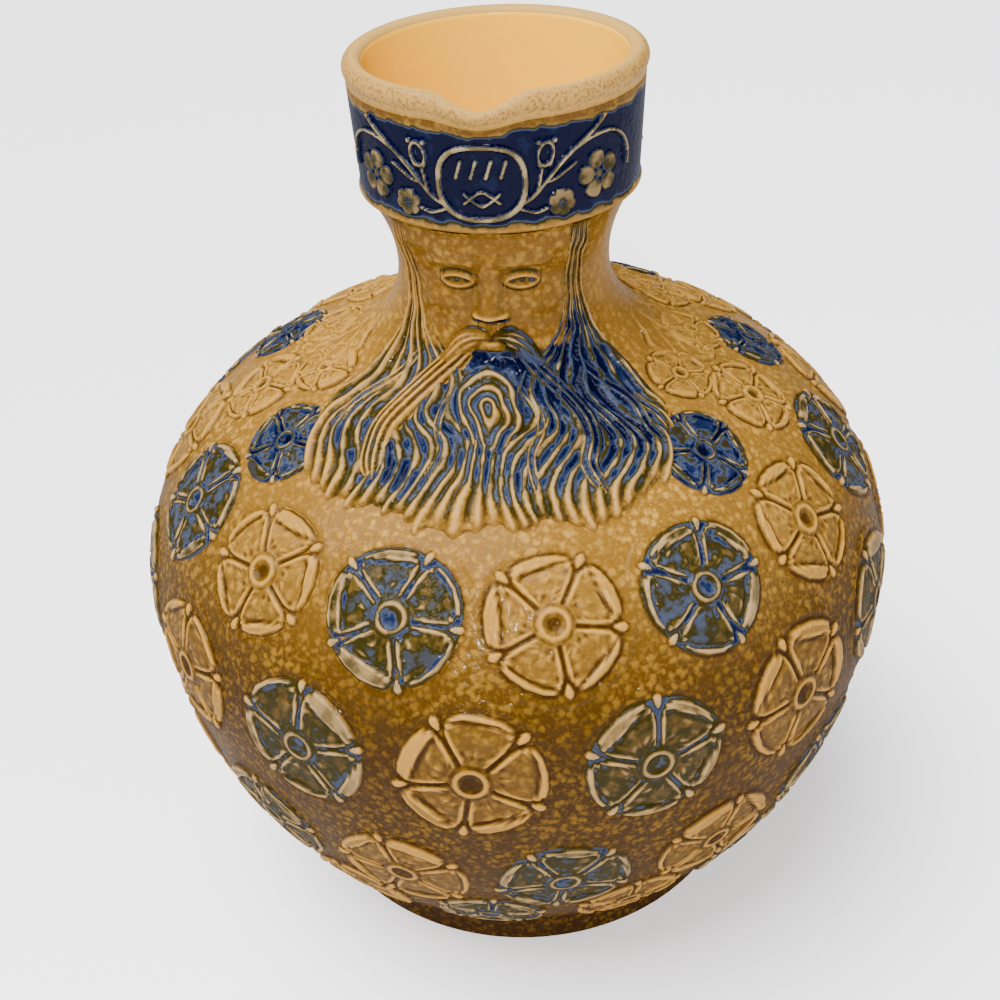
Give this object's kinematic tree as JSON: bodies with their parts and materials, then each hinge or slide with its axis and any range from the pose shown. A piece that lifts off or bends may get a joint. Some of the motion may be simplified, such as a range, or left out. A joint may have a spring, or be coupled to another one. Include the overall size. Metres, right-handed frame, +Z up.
{
  "type": "bellarmine jug",
  "caption": "Round-bellied salt-glazed stoneware jug with rosette sprigs, a bearded mask on the neck, a relief collar, a pinched pouring lip and a strap handle.",
  "frame": {"origin": "centre of the foot ring's standing face, on the ground", "axes": "+Z up along the thrown axis, -Y towards the front with the mask and the lip, +Y towards the handle, +X to the right seen from the front"},
  "size_m": [0.2393, 0.2394, 0.2745],
  "materials": {
    "stoneware": "amber-brown salt glaze with cobalt blue, glossy with an orange-peel grain"
  },
  "bodies": {
    "root": {"jug": "stoneware"}
  },
  "joints": []
}
